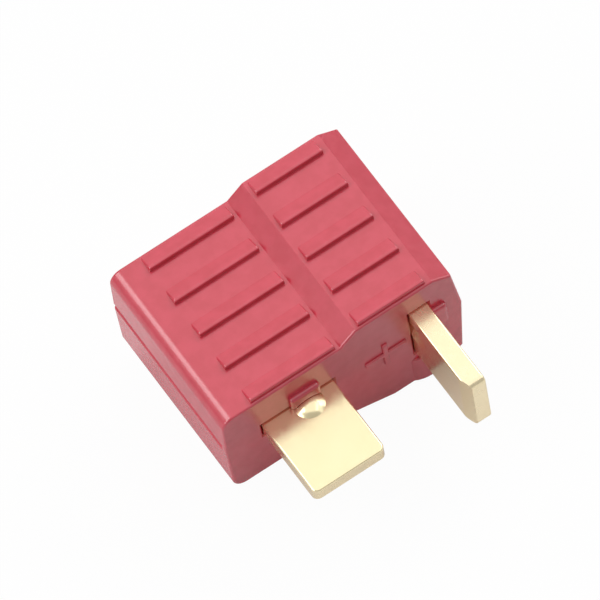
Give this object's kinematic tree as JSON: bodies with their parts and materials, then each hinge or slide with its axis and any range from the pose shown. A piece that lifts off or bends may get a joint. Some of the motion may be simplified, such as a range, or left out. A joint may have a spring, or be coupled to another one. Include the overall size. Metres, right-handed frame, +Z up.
{
  "type": "t plug battery connector",
  "caption": "Battery connector plug with a stepped, ribbed nylon housing that holds one flat and one upright plated blade contact.",
  "frame": {"origin": "middle of the mating face, level with the parting plane and with the middle of both blades", "axes": "+Y from the mating face to the rear (the blades point to -Y), +X from the thin half to the thick half, +Z up"},
  "size_m": [0.016, 0.0174, 0.0106],
  "materials": {
    "housing": "moulded, fine satin",
    "contact": "gold plated, satin"
  },
  "bodies": {
    "root": {"housing": "housing", "flat_contact": "contact", "upright_contact": "contact"}
  },
  "joints": []
}
